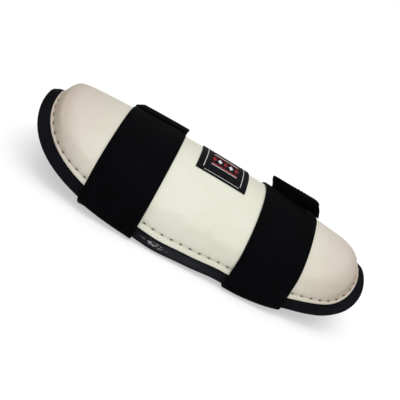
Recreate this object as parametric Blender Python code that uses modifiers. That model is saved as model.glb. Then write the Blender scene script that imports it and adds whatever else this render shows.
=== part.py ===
"""Taekwondo shin guard: a black foam backing bent round the shin, a padded white cover stitched on it,
two elastic straps that go all the way round with hook tape at their free ends, and a woven label.

Metres, +Z up. X runs along the guard with the knee end at -X, and the guard rests on its straps."""

import math
from collections import namedtuple

import bmesh
import bpy

# Backing: an oval sheet of foam, bent round an upright ellipse
LENGTH = 0.307  # tip to tip
GIRTH = 0.191  # edge to edge, measured flat round the bend
BEND_ACROSS = 0.0721  # half the width of the ellipse under the outer face
BEND_RISE = 0.0835  # the height of that ellipse
END_TAPER = 0.05  # the bend is this share wider at the knee end and narrower at the ankle end
END_DROP = 0.0076  # how far the tips lie below the middle
TIP_POWER = 2.5  # how square the oval is where it meets the tips
SIDE_POWER = 3.0  # how square it is where it meets the long edges
BACKING_THICKNESS = 0.005
EDGE_ROUND = 0.0018  # corner radius of the foam's cut edge

# Cover: a padded shell on the backing
MARGIN = 0.0084  # black backing left bare round the cover
PAD_THICKNESS = 0.0106
FLANGE_WIDTH = 0.0058  # cover's edge to its stitch line
FLANGE_THICKNESS = 0.0022
SEAM_THICKNESS = 0.0015  # the cover where the stitches pull it down
SHOULDER_WIDTH = 0.017  # stitch line to the pad's full thickness

# Straps and their hook tape
STRAP_WIDTH = 0.050
STRAP_THICKNESS = 0.0018
STRAP_SPACING = 0.130  # middle to middle
LAP_WIDTH = 0.0455  # the strap narrows to this at its free end
TAPE_WIDTH = 0.0445
TAPE_THICKNESS = 0.0022
INNER_END_ANGLE = 74.0  # slope of the pad under the strap's inner end, on the far side
TAPE_END_ANGLE = 50.0  # slope under the hook tape's lower end
FREE_END_ANGLE = 17.0  # slope under the strap's free end, just past the crown

# Label on the crown
LABEL_ALONG = 0.0456
LABEL_ACROSS = 0.061
LABEL_THICKNESS = 0.0008

CLEARANCE = 0.0003  # gap between pieces that lie on each other

RING_SIDES = 72
STRAP_CELLS = 4
CROWN_STEP = 6.0  # degrees of slope for each stretch of strap over the pad
EDGE_SLOPES = (90.0, 105.0, 120.0, 135.0, 150.0, 165.0, 175.0, 179.7)  # strap round a long edge to the back
WELD = 0.000001

Strap = namedtuple("Strap", "name side flat_half lift_knee_side lift_ankle_side")
STRAPS = (
    # side: -1 is the knee end; flat_half: half of the stretch that lies flat on the floor;
    # the lifts raise the two corners of the free end off the strap below it
    Strap(name="knee", side=-1, flat_half=0.053, lift_knee_side=0.0, lift_ankle_side=0.0),
    Strap(name="ankle", side=1, flat_half=0.042, lift_knee_side=0.0012, lift_ankle_side=0.0052),
)

Profile = namedtuple("Profile", "inset lift")

HALF_LENGTH = LENGTH / 2
HALF_GIRTH = GIRTH / 2
BEND_RADIUS = (BEND_ACROSS + BEND_RISE) / 2


def clear_scene():
    for item in list(bpy.data.objects):
        bpy.data.objects.remove(item, do_unlink=True)


def material(name, colour, roughness):
    made = bpy.data.materials.new(name)
    made.use_nodes = True
    shader = made.node_tree.nodes["Principled BSDF"]
    shader.inputs["Base Color"].default_value = (*colour, 1.0)
    shader.inputs["Roughness"].default_value = roughness
    shader.inputs["Metallic"].default_value = 0.0
    return made


# The bent oval


def on_bend(x, girth, lift):
    """A point over the backing's outer face: girth is measured round the bend from the crown, far side plus."""
    scale = 1.0 - END_TAPER * x / HALF_LENGTH
    drop = END_DROP * (x / HALF_LENGTH) ** 2
    angle = girth / BEND_RADIUS
    y = (BEND_ACROSS * scale + lift) * math.sin(angle)
    z = (BEND_RISE * scale + lift) * math.cos(angle) - drop
    return x, y, z


def oval_point(inset, turn):
    """The oval's outline moved in by inset, at a turn round it, as x and girth."""
    cosine = math.cos(turn)
    sine = math.sin(turn)
    x = (HALF_LENGTH - inset) * math.copysign(abs(cosine) ** (2 / TIP_POWER), cosine)
    girth = (HALF_GIRTH - inset) * math.copysign(abs(sine) ** (2 / SIDE_POWER), sine)
    return x, girth


def half_girth_at(x, inset):
    """Half the girth of the oval moved in by inset, where it crosses x."""
    share = min(1.0, abs(x) / (HALF_LENGTH - inset))
    return (HALF_GIRTH - inset) * (1.0 - share ** TIP_POWER) ** (1 / SIDE_POWER)


def even_turns(sides):
    """Turns that cut a quarter of the oval into equal lengths, repeated for the other quarters."""
    fine = 2000
    turns = [math.pi / 2 * step / fine for step in range(fine + 1)]
    points = [oval_point(0.0, turn) for turn in turns]
    lengths = [0.0]
    for before, after in zip(points, points[1:]):
        lengths.append(lengths[-1] + math.dist(before, after))
    quarter = []
    for step in range(sides // 4):
        wanted = lengths[-1] * step / (sides // 4)
        nearest = min(range(fine + 1), key=lambda index: abs(lengths[index] - wanted))
        quarter.append(turns[nearest])
    half = quarter + [math.pi / 2] + [math.pi - turn for turn in reversed(quarter)]
    return half[:-1] + [math.pi + turn for turn in half]


# Meshes


def mapped_grid(name, columns, rows, place):
    """An object from a grid whose corners place(column, row) sets, welded where they meet."""
    grid = bmesh.new()
    bmesh.ops.create_grid(grid, x_segments=columns, y_segments=rows, size=0.5)
    for vert in grid.verts:
        column = round((vert.co.x + 0.5) * columns)
        row = round((vert.co.y + 0.5) * rows)
        vert.co = place(column, row)
    bmesh.ops.remove_doubles(grid, verts=grid.verts, dist=WELD)
    bmesh.ops.recalc_face_normals(grid, faces=grid.faces)
    mesh = bpy.data.meshes.new(name)
    grid.to_mesh(mesh)
    grid.free()
    return bpy.data.objects.new(name, mesh)


def finish(made, collection, look):
    made.data.materials.append(look)
    collection.objects.link(made)
    made.data.shade_smooth()
    made.data.set_sharp_from_angle(angle=math.radians(40))
    return made


def solid_from_profile(name, profile):
    """A closed solid whose section, from the spine to the edge and back, is the same all round the oval."""
    turns = even_turns(RING_SIDES)

    def place(column, row):
        x, girth = oval_point(profile[row].inset, turns[column])
        return on_bend(x, girth, profile[row].lift)

    return mapped_grid(name, RING_SIDES, len(profile) - 1, place)


def thicken(made, thickness):
    """Gives an open sheet its thickness, on the side away from the leg."""
    solidify = made.modifiers.new("thickness", "SOLIDIFY")
    solidify.thickness = thickness
    solidify.offset = 1.0
    solidify.use_even_offset = True


# Backing and cover


def inner_insets():
    """Insets shared by the backing and the cover, from the spine out to the cover's edge."""
    stitch_line = MARGIN + FLANGE_WIDTH
    full_pad = stitch_line + SHOULDER_WIDTH
    crown_rows = 5
    crown = [HALF_GIRTH + (full_pad - HALF_GIRTH) * row / crown_rows for row in range(crown_rows + 1)]
    return crown + [(stitch_line + full_pad) / 2, stitch_line, MARGIN]


def edge_arc(inset, lift, start, steps=3):
    """A quarter turn round a corner of the foam's edge, from a start angle that points out from the shell."""
    rows = []
    for step in range(steps + 1):
        angle = math.radians(start + 90.0 * step / steps)
        rows.append(Profile(inset - EDGE_ROUND * math.sin(angle), lift + EDGE_ROUND * math.cos(angle)))
    return rows


def backing_edge():
    """The foam's cut edge, from the outer face round to the inner face."""
    outer = edge_arc(EDGE_ROUND, -EDGE_ROUND, 0.0)
    inner = edge_arc(EDGE_ROUND, EDGE_ROUND - BACKING_THICKNESS, 90.0)
    return outer + inner


def build_backing():
    insets = inner_insets()
    outer = [Profile(inset, 0.0) for inset in insets]
    inner = [Profile(inset, -BACKING_THICKNESS) for inset in reversed(insets)]
    return solid_from_profile("backing", outer + backing_edge() + inner)


def pad_lift(inset):
    """Height of the cover's top face over the backing, at an inset from the backing's edge."""
    from_edge = inset - MARGIN
    if from_edge <= FLANGE_WIDTH:
        return FLANGE_THICKNESS + (SEAM_THICKNESS - FLANGE_THICKNESS) * from_edge / FLANGE_WIDTH
    share = min(1.0, (from_edge - FLANGE_WIDTH) / SHOULDER_WIDTH)
    return SEAM_THICKNESS + (PAD_THICKNESS - SEAM_THICKNESS) * math.sqrt(1.0 - (1.0 - share) ** 2)


def build_cover():
    insets = inner_insets()
    stitch_line = MARGIN + FLANGE_WIDTH
    shoulder_rows = 7
    top = [Profile(inset, PAD_THICKNESS) for inset in insets[:-3]]
    for row in range(1, shoulder_rows + 1):
        slope = math.pi / 2 * row / shoulder_rows
        inset = stitch_line + SHOULDER_WIDTH * (1.0 - math.sin(slope))
        top.append(Profile(inset, pad_lift(inset)))
    top += [Profile(MARGIN + FLANGE_WIDTH / 2, FLANGE_THICKNESS), Profile(MARGIN, FLANGE_THICKNESS / 2)]
    bottom = [Profile(inset, CLEARANCE) for inset in reversed(insets)]
    return solid_from_profile("cover", top + bottom)


# Straps


def lowest_rim():
    """Height of the lowest point of the backing, which the straps' flat stretches lie under."""
    steps = 60
    heights = []
    for step in range(steps + 1):
        x = HALF_LENGTH * (step / steps - 0.5)
        heights += [on_bend(x, half_girth_at(x, row.inset), row.lift)[2] for row in backing_edge()]
    return min(heights)


def held_points(x, flat_half, floor):
    """The points of the guard's section at x that a strap goes round, as y and z."""
    rows = backing_edge()
    steps = 48
    for step in range(steps + 1):
        inset = MARGIN + (HALF_LENGTH - MARGIN - abs(x)) * step / steps
        rows.append(Profile(min(inset, HALF_GIRTH), pad_lift(inset)))
    half = [on_bend(x, half_girth_at(x, row.inset), row.lift)[1:] for row in rows]
    half.append((flat_half, floor))
    return half + [(-y, z) for y, z in half]


def stretched_over(points, slope, lift):
    """Where a sheet pulled tight round the points has this slope, in degrees from the crown, and the given lift."""
    across = math.sin(math.radians(slope))
    up = math.cos(math.radians(slope))
    y, z = max(points, key=lambda point: point[0] * across + point[1] * up)
    return y + across * lift, z + up * lift


def eased(value, start, end):
    """0 before start, 1 past end and a smooth rise between them."""
    share = min(1.0, max(0.0, (value - start) / (end - start)))
    return share * share * (3.0 - 2.0 * share)


def strap_slopes():
    """Slopes along a strap: inner end on the far side, crown, near side, back, and up the far side again."""
    over = []
    slope = INNER_END_ANGLE
    while slope > -90.0:
        over.append(slope)
        slope -= CROWN_STEP
    under = [-slope for slope in EDGE_SLOPES] + [slope - 360.0 for slope in reversed(EDGE_SLOPES)]
    lap_steps = math.ceil((90.0 - TAPE_END_ANGLE) / CROWN_STEP)
    lap = [-270.0 - (90.0 - TAPE_END_ANGLE) * step / lap_steps for step in range(1, lap_steps)]
    return over + under + lap + [slope - 360.0 for slope in tape_slopes()]


def tape_slopes():
    """Slopes along the hook tape, up to the strap's free end."""
    steps = math.ceil((TAPE_END_ANGLE - FREE_END_ANGLE) / CROWN_STEP)
    return [TAPE_END_ANGLE + (FREE_END_ANGLE - TAPE_END_ANGLE) * step / steps for step in range(steps + 1)]


def free_end_lift(strap, slope, across):
    """How far the free end stands off the strap below it; across runs from -1, knee side, to 1."""
    corner = strap.lift_knee_side + (strap.lift_ankle_side - strap.lift_knee_side) * (across + 1.0) / 2
    return corner * eased(-slope, -FREE_END_ANGLE - 16.0, -FREE_END_ANGLE)


def strap_lift(strap, slope, across):
    """Gap under the strap: over the pad, then over its own inner end, then over the hook tape."""
    over_inner_end = (STRAP_THICKNESS + CLEARANCE) * eased(-slope, 265.0, 357.0 - INNER_END_ANGLE)
    over_tape = (TAPE_THICKNESS + CLEARANCE) * eased(-slope, 345.0 - TAPE_END_ANGLE, 357.0 - TAPE_END_ANGLE)
    return CLEARANCE + over_inner_end + over_tape + free_end_lift(strap, slope + 360.0, across)


def strap_half_width(slope):
    return (STRAP_WIDTH + (LAP_WIDTH - STRAP_WIDTH) * eased(-slope, 290.0, 325.0)) / 2


def build_strap(strap, floor):
    middle = strap.side * STRAP_SPACING / 2
    slopes = strap_slopes()

    def place(column, row):
        slope = slopes[column]
        across = 2.0 * row / STRAP_CELLS - 1.0
        x = middle + across * strap_half_width(slope)
        points = held_points(x, strap.flat_half, floor)
        return x, *stretched_over(points, slope, strap_lift(strap, slope, across))

    made = mapped_grid("strap_" + strap.name, len(slopes) - 1, STRAP_CELLS, place)
    thicken(made, STRAP_THICKNESS)
    return made


def build_hook_tape(strap, floor):
    middle = strap.side * STRAP_SPACING / 2
    slopes = tape_slopes()

    def place(column, row):
        slope = slopes[column]
        across = 2.0 * row / STRAP_CELLS - 1.0
        x = middle + across * TAPE_WIDTH / 2
        points = held_points(x, strap.flat_half, floor)
        raised = free_end_lift(strap, slope, across * TAPE_WIDTH / LAP_WIDTH)
        return x, *stretched_over(points, slope, 2 * CLEARANCE + STRAP_THICKNESS + raised)

    made = mapped_grid("hook_tape_" + strap.name, len(slopes) - 1, STRAP_CELLS, place)
    thicken(made, TAPE_THICKNESS)
    return made


def build_label():
    columns = 4
    rows = 10
    reach = LABEL_ACROSS / (BEND_RISE + PAD_THICKNESS) * BEND_RADIUS

    def place(column, row):
        x = LABEL_ALONG * (column / columns - 0.5)
        return on_bend(x, reach * (row / rows - 0.5), PAD_THICKNESS + CLEARANCE)

    made = mapped_grid("label", columns, rows, place)
    thicken(made, LABEL_THICKNESS)
    return made


def face_outward(made):
    """Turns an open sheet's faces away from the guard's axis, so that it is thickened outward."""
    height = BEND_RISE / 2
    total = 0.0
    for polygon in made.data.polygons:
        outward = (polygon.center.y, polygon.center.z - height)
        total += polygon.area * (polygon.normal.y * outward[0] + polygon.normal.z * outward[1])
    if total < 0.0:
        made.data.flip_normals()


def stand_on_floor(parts):
    """Moves the parts together so that the middle of the bottom of their box is the origin."""
    bpy.context.view_layer.update()
    graph = bpy.context.evaluated_depsgraph_get()
    corners = []
    for part in parts:
        mesh = part.evaluated_get(graph).data
        corners += [tuple(part.matrix_world @ vert.co) for vert in mesh.vertices]
    lows = [min(corner[axis] for corner in corners) for axis in range(3)]
    highs = [max(corner[axis] for corner in corners) for axis in range(3)]
    for part in parts:
        part.location.x -= (lows[0] + highs[0]) / 2
        part.location.y -= (lows[1] + highs[1]) / 2
        part.location.z -= lows[2]


def main():
    clear_scene()
    collection = bpy.data.collections.new("taekwondo_shin_guard")
    bpy.context.scene.collection.children.link(collection)
    foam = material("black_foam", (0.018, 0.018, 0.020), 0.9)
    vinyl = material("white_vinyl", (0.80, 0.78, 0.70), 0.5)
    elastic = material("black_elastic", (0.010, 0.010, 0.012), 0.85)
    hooks = material("black_hook_tape", (0.016, 0.016, 0.018), 0.7)
    woven = material("black_woven", (0.012, 0.012, 0.015), 0.65)

    parts = [finish(build_backing(), collection, foam), finish(build_cover(), collection, vinyl)]
    floor = lowest_rim()
    for strap in STRAPS:
        parts.append(finish(build_strap(strap, floor), collection, elastic))
        parts.append(finish(build_hook_tape(strap, floor), collection, hooks))
    parts.append(finish(build_label(), collection, woven))
    for sheet in parts[2:]:
        face_outward(sheet)
    stand_on_floor(parts)


main()
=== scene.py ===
"""Looks of a taekwondo shin guard: padded cover, foam backing, elastic straps with hook tape, woven label."""

import math

import bmesh
import bpy
import numpy as np
from mathutils import Matrix, Vector


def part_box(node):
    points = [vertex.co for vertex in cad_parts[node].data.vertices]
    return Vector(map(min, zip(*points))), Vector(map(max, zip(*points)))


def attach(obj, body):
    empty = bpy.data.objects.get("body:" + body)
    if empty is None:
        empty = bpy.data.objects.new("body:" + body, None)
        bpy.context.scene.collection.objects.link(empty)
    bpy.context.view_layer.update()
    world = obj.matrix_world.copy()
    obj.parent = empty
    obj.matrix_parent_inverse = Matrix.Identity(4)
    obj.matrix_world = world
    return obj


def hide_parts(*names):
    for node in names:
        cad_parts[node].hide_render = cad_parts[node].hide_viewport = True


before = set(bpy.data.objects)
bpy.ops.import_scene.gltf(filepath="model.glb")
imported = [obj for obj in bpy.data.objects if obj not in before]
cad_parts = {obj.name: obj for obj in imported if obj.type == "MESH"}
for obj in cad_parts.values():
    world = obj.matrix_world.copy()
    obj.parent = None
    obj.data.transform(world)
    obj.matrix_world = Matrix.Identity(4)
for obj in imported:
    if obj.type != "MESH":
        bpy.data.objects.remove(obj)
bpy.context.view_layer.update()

# Sizes that the CAD was made with, in metres
LENGTH = 0.307
GIRTH = 0.191
BEND_ACROSS = 0.0721
BEND_RISE = 0.0835
END_TAPER = 0.05
END_DROP = 0.0076
TIP_POWER = 2.5
SIDE_POWER = 3.0
BACKING_THICKNESS = 0.005
EDGE_ROUND = 0.0018
MARGIN = 0.0084
PAD_THICKNESS = 0.0106
FLANGE_WIDTH = 0.0058
FLANGE_THICKNESS = 0.0022
SEAM_THICKNESS = 0.0015
SHOULDER_WIDTH = 0.017
STRAP_WIDTH = 0.050
STRAP_THICKNESS = 0.0018
STRAP_SPACING = 0.130
LAP_WIDTH = 0.0455
TAPE_THICKNESS = 0.0022
INNER_END_ANGLE = 74.0
TAPE_END_ANGLE = 50.0
FREE_END_ANGLE = 17.0
LABEL_ALONG = 0.0456
LABEL_ACROSS = 0.061
LABEL_THICKNESS = 0.0008
CLEARANCE = 0.0003
STRAPS = {
    # side, half of the flat stretch, lifts of the free end's knee side and ankle side
    "knee": (-1, 0.053, 0.0, 0.0),
    "ankle": (1, 0.042, 0.0045, 0.0070),
}

LAPS = {
    # edges of the strap's free end and of its hook tape, across the strap from its middle
    "knee": (-0.0252, 0.0257, -0.0168, 0.0250),
    "ankle": (-0.0220, 0.0226, -0.0200, 0.0222),
}

# Sizes of the seam: how far in from the cover's edge it lies, and how much less than that at the tips
STITCH_PITCH = 0.0081
SEAM_INSET = 0.0050
SEAM_AT_TIPS = 0.0029
STITCH_LENGTH = 0.0020
STITCH_REACH = 0.0016
THREAD = 0.00052
INNER_THREAD = 0.00042
LAP_THREAD = 0.00032
LABEL_THREAD = 0.00022
LAP_PITCH = 0.0031
LABEL_PITCH = 0.0023

# The cloth simulation of the cover's skin
SKIN_CELLS = 288
SKIN_STEPS = 20
SKIN_PRESSURE = 4.0
SKIN_SHRINK = -0.012
SKIN_SHARE = 0.6
SKIN_IN = -0.00035
SKIN_OUT = 0.00045

HALF_LENGTH = LENGTH / 2
HALF_GIRTH = GIRTH / 2
BEND_RADIUS = (BEND_ACROSS + BEND_RISE) / 2
CROWN_PEAK = max(
    BEND_RISE * (1.0 - END_TAPER * share) - END_DROP * share ** 2 for share in np.linspace(-1.0, 1.0, 401)
)
BACKING_LOW, BACKING_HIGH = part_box("backing")
SHIFT = np.array([0.0, (BACKING_LOW.y + BACKING_HIGH.y) / 2, BACKING_HIGH.z - CROWN_PEAK])


# The bent oval, as in the CAD


def settled_shape(x, girth):
    """How the real guard departs from the plain oval: both places once shifted, and how far it sags."""
    share = np.clip(np.abs(girth) / np.maximum(half_girth_at(x, 0.0), 0.001), 0.0, 1.0)
    wider = 0.0013 * bump(x, -0.021, 0.016) - 0.0018 * bump(x, 0.031, 0.017)
    wider = (wider - 0.0008 * bump(x, 0.095, 0.010) + 0.0012 * bump(x, 0.126, 0.012)) * share ** 2
    wider = wider + 0.0013 * bump(x, 0.126, 0.014) * bump(share, 0.85, 0.12)
    corner = bump(x, 0.140, 0.015) * bump(girth, -0.050, 0.018)
    shifted = girth + np.sign(girth) * wider - 0.0018 * corner
    shortened = x - 0.0015 * eased(x, 0.120, 0.152) * eased(girth, -0.045, -0.010)
    sag = 0.0036 * eased(-x, 0.134, 0.152) * eased(girth, -0.012, 0.014) + 0.0007 * corner
    return shortened, shifted, sag


def on_bend(x, girth, lift, plain=False):
    """Points over the backing's outer face: girth is measured round the bend from the crown, far side plus."""
    x, girth, lift = np.broadcast_arrays(x, girth, lift)
    sag = 0.0
    if not plain:
        x, girth, sag = settled_shape(x, girth)
    scale = 1.0 - END_TAPER * x / HALF_LENGTH
    drop = END_DROP * (x / HALF_LENGTH) ** 2
    angle = girth / BEND_RADIUS
    y = (BEND_ACROSS * scale + lift) * np.sin(angle)
    z = (BEND_RISE * scale + lift) * np.cos(angle) - drop - sag
    return np.stack([x, y, z], axis=-1) + SHIFT


def oval_point(inset, turn):
    cosine = np.cos(turn)
    sine = np.sin(turn)
    x = (HALF_LENGTH - inset) * np.sign(cosine) * np.abs(cosine) ** (2 / TIP_POWER)
    girth = (HALF_GIRTH - inset) * np.sign(sine) * np.abs(sine) ** (2 / SIDE_POWER)
    return x, girth


def half_girth_at(x, inset):
    share = np.minimum(1.0, np.abs(x) / (HALF_LENGTH - inset))
    return (HALF_GIRTH - inset) * (1.0 - share ** TIP_POWER) ** (1 / SIDE_POWER)


def even_turns(sides):
    """Turns that cut the oval's outline into equal lengths, and the length round it at each turn."""
    fine = np.linspace(0.0, math.tau, 40001)
    x, girth = oval_point(MARGIN + FLANGE_WIDTH, fine)
    lengths = np.concatenate([[0.0], np.cumsum(np.hypot(np.diff(x), np.diff(girth)))])
    wanted = np.linspace(0.0, lengths[-1], sides + 1)
    return np.interp(wanted, lengths, fine)[:-1], wanted


def eased(value, start, end):
    share = np.clip((np.asarray(value, float) - start) / (end - start), 0.0, 1.0)
    return share * share * (3.0 - 2.0 * share)


def bump(value, centre, width):
    return np.exp(-(((value - centre) / width) ** 2))


# Meshes


def mesh_object(name, points, faces, look, uvs=None, masks=None):
    """A smooth mesh object from points and faces, with a UV for each face corner and a mask for each point."""
    mesh = bpy.data.meshes.new(name)
    mesh.from_pydata(np.asarray(points).reshape(-1, 3).tolist(), [], [list(map(int, face)) for face in faces])
    if uvs is not None:
        layer = mesh.uv_layers.new(name="UVMap")
        layer.data.foreach_set("uv", np.asarray(uvs, np.float32).ravel())
    for key, values in (masks or {}).items():
        attribute = mesh.attributes.new(key, "FLOAT", "POINT")
        attribute.data.foreach_set("value", np.asarray(values, np.float32).ravel())
    mesh.materials.append(look)
    mesh.shade_smooth()
    made = bpy.data.objects.new(name, mesh)
    bpy.context.scene.collection.objects.link(made)
    return made


def grid_faces(rows, columns, wrap_columns=False):
    """Quads of a grid stored row by row, as four arrays of row and column numbers."""
    row, column = np.indices((rows - 1, columns if wrap_columns else columns - 1)).reshape(2, -1)
    return [(row, column), (row, column + 1), (row + 1, column + 1), (row + 1, column)]


def grid_object(name, points, look, uv, wrap_columns=False, masks=None, flip=False, caps=False):
    """An object from a grid of points; uv has one more column than the points where the grid wraps."""
    rows, columns = points.shape[:2]
    corners = grid_faces(rows, columns, wrap_columns)
    if flip:
        corners = corners[::-1]
    faces = np.stack([row * columns + column % columns for row, column in corners], axis=-1).tolist()
    uvs = np.stack([uv[row, column] for row, column in corners], axis=1).reshape(-1, 2)
    if caps:
        ends = [list(range(columns)), [(rows - 1) * columns + column for column in range(columns)][::-1]]
        if not flip:
            ends = [end[::-1] for end in ends]
        faces += ends
        flat = uv[:rows, :columns].reshape(-1, 2)
        uvs = np.concatenate([uvs] + [flat[end] for end in ends])
    return mesh_object(name, points, faces, look, uvs, masks)


def merge_close(made):
    """Joins the points that lie on each other along the crown."""
    work = bmesh.new()
    work.from_mesh(made.data)
    bmesh.ops.remove_doubles(work, verts=work.verts, dist=0.000002)
    work.to_mesh(made.data)
    work.free()
    made.data.shade_smooth()


def unit(vectors):
    return vectors / np.maximum(np.linalg.norm(vectors, axis=-1, keepdims=True), 1e-12)


def travelled_along(points):
    """Length along a line of points, from 0 at the first."""
    return np.concatenate([[0.0], np.cumsum(np.linalg.norm(np.diff(points, axis=0), axis=1))])


def threads(name, runs, radius, look, flatness=0.75, sides=8):
    """Short stitches of thread with closed round ends; each run is its points and the surface normals there."""
    points = []
    faces = []
    uvs = []
    for path, normals in runs:
        path = np.asarray(path, float)
        normals = unit(np.asarray(normals, float))
        along = unit(np.gradient(path, axis=0))
        side = unit(np.cross(along, normals))
        count = len(path)
        share = np.linspace(-1.0, 1.0, count)
        size = radius * np.sqrt(np.clip(1.0 - np.abs(share) ** 6, 0.04, 1.0))
        angle = np.arange(sides) * math.tau / sides
        ring = (
            path[:, None, :]
            + side[:, None, :] * (size[:, None] * np.cos(angle))[..., None]
            + normals[:, None, :] * (size[:, None] * flatness * np.sin(angle))[..., None]
        )
        start = sum(len(block) for block in points)
        points.append(ring.reshape(-1, 3))
        length = travelled_along(path)
        corners = grid_faces(count, sides, wrap_columns=True)[::-1]
        faces += (start + np.stack([row * sides + column % sides for row, column in corners], axis=-1)).tolist()
        around = radius * math.tau / sides
        places = [np.stack([length[row], column * around], axis=-1) for row, column in corners]
        uvs.append(np.stack(places, axis=1).reshape(-1, 2))
        faces.append([start + column for column in range(sides)])
        faces.append([start + (count - 1) * sides + column for column in reversed(range(sides))])
        uvs.append(np.zeros((2 * sides, 2)))
    return mesh_object(name, np.concatenate(points), faces, look, np.concatenate(uvs))


# Materials


def linear(code):
    """A hex colour as linear RGBA."""
    channels = [int(code[index : index + 2], 16) / 255 for index in (0, 2, 4)]
    return (*[c / 12.92 if c <= 0.04045 else ((c + 0.055) / 1.055) ** 2.4 for c in channels], 1.0)


class Look:
    """A material under construction."""

    def __init__(self, name, **shader):
        self.material = bpy.data.materials.new(name)
        self.material.use_nodes = True
        self.tree = self.material.node_tree
        self.shader = self.tree.nodes["Principled BSDF"]
        for socket, value in shader.items():
            self.shader.inputs[socket.replace("_", " ")].default_value = value
        self.places = self.node("TexCoord")

    def link(self, source, target):
        self.tree.links.new(source, target)

    def put(self, socket, value):
        if isinstance(value, (int, float, tuple)):
            socket.default_value = value
        else:
            self.link(value, socket)

    def node(self, kind, **values):
        made = self.tree.nodes.new("ShaderNode" + kind)
        for socket, value in values.items():
            made.inputs[socket.replace("_", " ")].default_value = value
        return made

    def mapped(self, space="Object", scale=(1.0, 1.0, 1.0)):
        node = self.node("Mapping", Scale=scale)
        self.link(self.places.outputs[space], node.inputs["Vector"])
        return node.outputs["Vector"]

    def noise(self, scale, detail=3.0, rough=0.5, where=None):
        node = self.node("TexNoise", Scale=scale, Detail=detail, Roughness=rough)
        self.link(where or self.mapped(), node.inputs["Vector"])
        return node.outputs["Fac"]

    def cells(self, scale, where=None, feature="F1", spread=1.0):
        node = self.node("TexVoronoi", Scale=scale, Randomness=spread)
        node.feature = feature
        self.link(where or self.mapped(), node.inputs["Vector"])
        return node.outputs["Distance"]

    def bands(self, pitch, direction="X", distortion=0.0):
        """Waves of the given pitch in metres, from 0 to 1."""
        node = self.node("TexWave", Scale=math.tau / 20.0 / pitch, Distortion=distortion)
        node.wave_type = "BANDS"
        node.bands_direction = direction
        node.wave_profile = "SIN"
        self.link(self.mapped("UV"), node.inputs["Vector"])
        return node.outputs["Fac"]

    def mask(self, name):
        node = self.node("Attribute")
        node.attribute_name = name
        return node.outputs["Fac"]

    def ranged(self, value, low, high, to_low=0.0, to_high=1.0):
        node = self.node("MapRange", From_Min=low, From_Max=high, To_Min=to_low, To_Max=to_high)
        self.put(node.inputs["Value"], value)
        return node.outputs["Result"]

    def clouds(self, scale, detail=3.0, low=0.0, high=1.0):
        """Noise stretched to run from low to high."""
        return self.ranged(self.noise(scale, detail), 0.3, 0.7, low, high)

    def maths(self, kind, first, second=0.0):
        node = self.node("Math")
        node.operation = kind
        self.put(node.inputs[0], first)
        self.put(node.inputs[1], second)
        return node.outputs["Value"]

    def mix(self, share, first, second):
        node = self.node("Mix")
        node.data_type = "RGBA"
        self.put(node.inputs["Factor"], share)
        self.put(node.inputs["A"], first)
        self.put(node.inputs["B"], second)
        return [output for output in node.outputs if output.type == "RGBA"][0]

    def coordinate(self, axis):
        node = self.node("SeparateXYZ")
        self.link(self.places.outputs["Object"], node.inputs["Vector"])
        return node.outputs[axis]

    def colour(self, value):
        self.put(self.shader.inputs["Base Color"], value)

    def roughness(self, value):
        self.put(self.shader.inputs["Roughness"], value)

    def relief(self, *layers):
        """Bumps stacked on each other: height, strength and depth in metres."""
        before = None
        for height, strength, depth in layers:
            node = self.node("Bump", Strength=strength, Distance=depth)
            self.link(height, node.inputs["Height"])
            if before is not None:
                self.link(before, node.inputs["Normal"])
            before = node.outputs["Normal"]
        self.link(before, self.shader.inputs["Normal"])


def vinyl_look():
    look = Look("cream_vinyl", Specular_IOR_Level=0.42, Coat_Weight=0.06, Coat_Roughness=0.35)
    cloud = look.noise(16.0, 4.0)
    colour = look.mix(look.ranged(cloud, 0.35, 0.65), linear("e2e2d2"), linear("dcdac8"))
    reach = look.maths("ABSOLUTE", look.coordinate("X"))
    colour = look.mix(look.ranged(reach, 0.065, 0.142, 0.0, 0.9), colour, linear("cabbb0"))
    wear = look.maths("MULTIPLY", look.ranged(look.noise(260.0, 5.0), 0.52, 0.75), 0.10)
    colour = look.mix(wear, colour, linear("cfc6b4"))
    # Painted shade: brown darkening in the seam's hollow, around the stitch holes and in bands just inside the seam at
    # the tips.
    colour = look.mix(look.mask("painted_seam_shade"), colour, linear("8f836c"))
    look.colour(colour)
    look.roughness(look.clouds(420.0, 4.0, 0.36, 0.5))
    grain = look.cells(1500.0, feature="DISTANCE_TO_EDGE")
    look.relief((look.noise(60.0, 3.0), 0.12, 0.0012), (grain, 0.16, 0.00012), (look.noise(3200.0, 2.0), 0.12, 0.00008))
    return look.material


def foam_look():
    look = Look("black_foam_cloth", Specular_IOR_Level=0.05)
    along = look.bands(0.0011, "X", distortion=0.4)
    across = look.bands(0.0009, "Y", distortion=0.4)
    knit = look.maths("MULTIPLY", along, across)
    colour = look.mix(look.clouds(45.0, 5.0), linear("0a0a0d"), linear("121318"))
    colour = look.mix(look.maths("MULTIPLY", knit, 0.25), colour, linear("1d1e24"))
    colour = look.mix(look.mask("layer"), colour, linear("24252a"))
    # Painted sheen: a lighter band on the backing's near rim, midway between the straps.
    colour = look.mix(look.mask("painted_sheen"), colour, linear("2b2d31"))
    fluff = look.ranged(look.noise(1.0, 3.0, 0.6, look.mapped("UV", (260.0, 900.0, 1.0))), 0.52, 0.6)
    scuffed = look.maths("MULTIPLY", fluff, look.mask("scuff"))
    colour = look.mix(scuffed, colour, linear("b4b6b6"))
    lint = look.ranged(look.noise(1700.0, 2.0), 0.74, 0.8, 0.0, 0.25)
    colour = look.mix(lint, colour, linear("4a4c52"))
    look.colour(colour)
    look.roughness(look.clouds(600.0, 3.0, 0.72, 0.92))
    look.relief((look.noise(120.0, 3.0), 0.2, 0.0006), (knit, 0.5, 0.00018), (look.noise(2600.0, 3.0), 0.3, 0.0001))
    return look.material


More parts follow.
